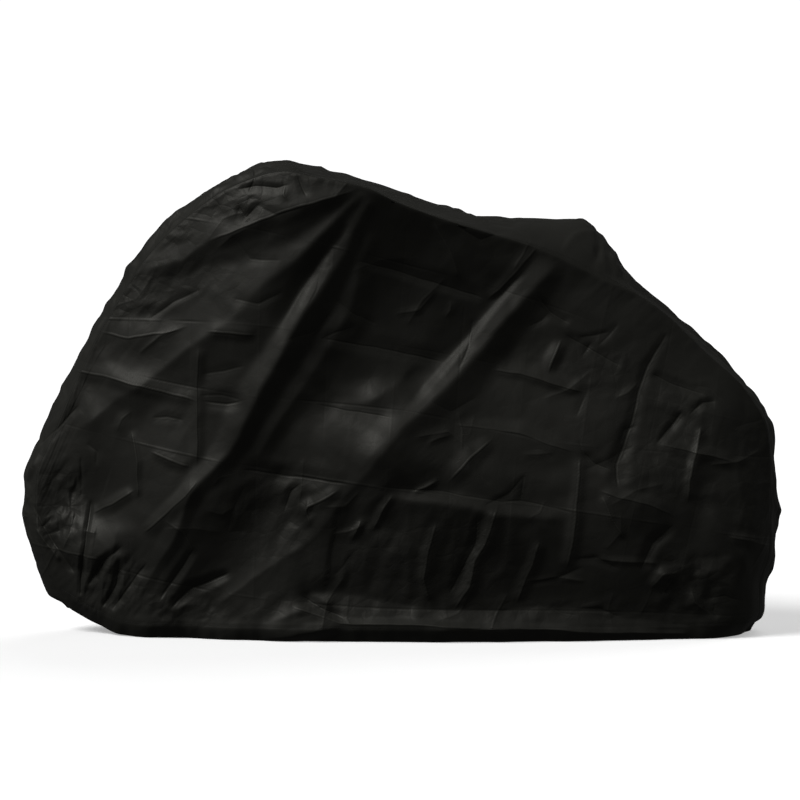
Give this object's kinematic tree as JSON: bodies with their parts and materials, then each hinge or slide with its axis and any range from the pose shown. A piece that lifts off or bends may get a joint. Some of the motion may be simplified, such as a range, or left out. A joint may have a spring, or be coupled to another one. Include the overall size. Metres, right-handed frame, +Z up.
{
  "type": "bicycle cover",
  "caption": "Fitted black cloth cover draped over a bicycle, with two side panels sewn to a long top strip and hanging in soft diagonal folds.",
  "frame": {"origin": "under the top strip, over the handlebar, where the bicycle carries the cover", "axes": "-X towards the front of the bicycle, -Y towards its left side, +Z up"},
  "size_m": [1.8419, 0.6042, 1.1467],
  "materials": {
    "black_cloth": "thin coated plain weave with a dull sheen, creased from packing"
  },
  "bodies": {
    "root": {"top_strip": "black_cloth", "left_panel": "black_cloth", "right_panel": "black_cloth"}
  },
  "joints": []
}
